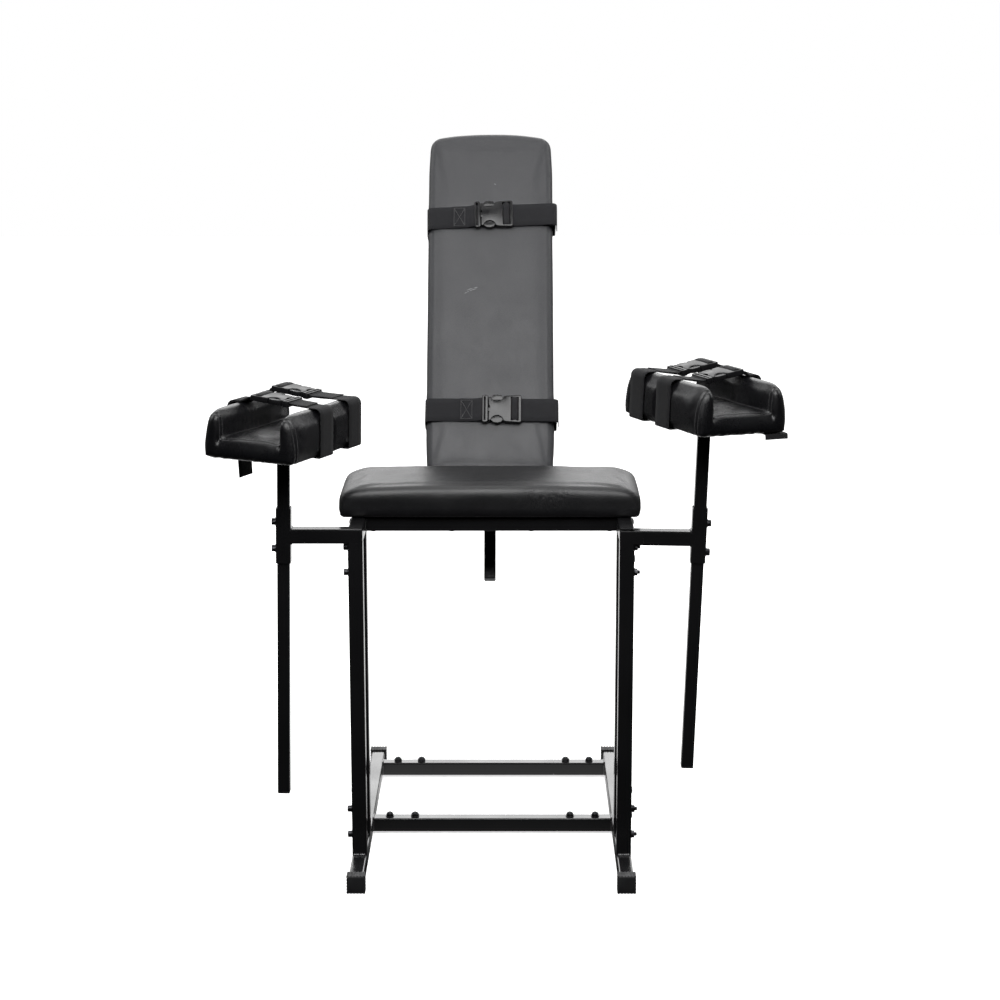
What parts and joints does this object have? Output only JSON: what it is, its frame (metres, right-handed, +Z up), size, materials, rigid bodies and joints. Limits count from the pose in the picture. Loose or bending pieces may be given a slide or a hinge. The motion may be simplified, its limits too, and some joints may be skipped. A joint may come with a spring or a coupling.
{
  "type": "reclined support chair with limb rests",
  "caption": "Tubular steel chair with a padded seat, a reclined strapped back rest that slides on its post, and height-adjustable padded trough rests with buckled straps for the limbs.",
  "frame": {"origin": "on the floor, under the middle of the bounding box", "axes": "+Z up, -Y the way the chair faces, +X to the right of a viewer who faces its front"},
  "size_m": [1.1382, 0.9546, 1.4624],
  "materials": {
    "powder_coated_steel": "gloss",
    "vinyl_over_foam": "satin",
    "foot_rubber": "matte",
    "webbing": "matte",
    "black_plastic": "satin",
    "plywood": "matte",
    "black_oxide_steel": "satin"
  },
  "bodies": {
    "frame": {"back_clamp_bolt_lower": "black_oxide_steel", "back_clamp_bolt_upper": "black_oxide_steel", "base_frame_left": "powder_coated_steel", "base_frame_right": "powder_coated_steel", "floor_crossbar_front": "powder_coated_steel", "floor_crossbar_rear": "powder_coated_steel", "foot_cap_front_left": "foot_rubber", "foot_cap_front_right": "foot_rubber", "foot_cap_rear_left": "foot_rubber", "foot_cap_rear_right": "foot_rubber", "rail_plug_left": "black_plastic", "rail_plug_right": "black_plastic", "rest_clamp_bolt_lower_left": "black_oxide_steel", "rest_clamp_bolt_lower_right": "black_oxide_steel", "rest_clamp_bolt_upper_left": "black_oxide_steel", "rest_clamp_bolt_upper_right": "black_oxide_steel", "seat_board": "plywood", "seat_crossbar_front": "powder_coated_steel", "seat_crossbar_rear": "powder_coated_steel", "seat_cushion": "vinyl_over_foam", "seat_frame_left": "powder_coated_steel", "seat_frame_right": "powder_coated_steel", "upright_front_left": "powder_coated_steel", "upright_front_right": "powder_coated_steel", "upright_rear_left": "powder_coated_steel", "upright_rear_right": "powder_coated_steel"},
    "back_rest": {"back_board": "plywood", "back_bracket_lower": "powder_coated_steel", "back_bracket_upper": "powder_coated_steel", "back_buckle_prongs_lower": "black_plastic", "back_buckle_prongs_upper": "black_plastic", "back_buckle_socket_lower": "black_plastic", "back_buckle_socket_upper": "black_plastic", "back_cushion": "vinyl_over_foam", "back_post": "powder_coated_steel", "back_post_plug": "black_plastic", "back_strap_lower": "webbing", "back_strap_upper": "webbing"},
    "rest_left": {"rest_board_left": "plywood", "rest_buckle_prongs_front_left": "black_plastic", "rest_buckle_prongs_rear_left": "black_plastic", "rest_buckle_socket_front_left": "black_plastic", "rest_buckle_socket_rear_left": "black_plastic", "rest_cushion_left": "vinyl_over_foam", "rest_plate_left": "powder_coated_steel", "rest_post_left": "powder_coated_steel", "rest_post_plug_left": "black_plastic", "rest_strap_front_left": "webbing", "rest_strap_rear_left": "webbing"},
    "rest_right": {"rest_board_right": "plywood", "rest_buckle_prongs_front_right": "black_plastic", "rest_buckle_prongs_rear_right": "black_plastic", "rest_buckle_socket_front_right": "black_plastic", "rest_buckle_socket_rear_right": "black_plastic", "rest_cushion_right": "vinyl_over_foam", "rest_plate_right": "powder_coated_steel", "rest_post_plug_right": "black_plastic", "rest_post_right": "powder_coated_steel", "rest_strap_front_right": "webbing", "rest_strap_rear_right": "webbing"}
  },
  "joints": [
    {"name": "back_slide", "type": "slide", "parent": "frame", "child": "back_rest", "axis": [0, 0.5, 0.866], "range_m": [-0.005, 0.11]},
    {"name": "rest_slide_left", "type": "slide", "parent": "frame", "child": "rest_left", "axis": [0.0192, 0, 0.9998], "range_m": [-0.08, 0.45]},
    {"name": "rest_slide_right", "type": "slide", "parent": "frame", "child": "rest_right", "axis": [0.0323, 0, 0.9995], "range_m": [-0.135, 0.395]}
  ]
}
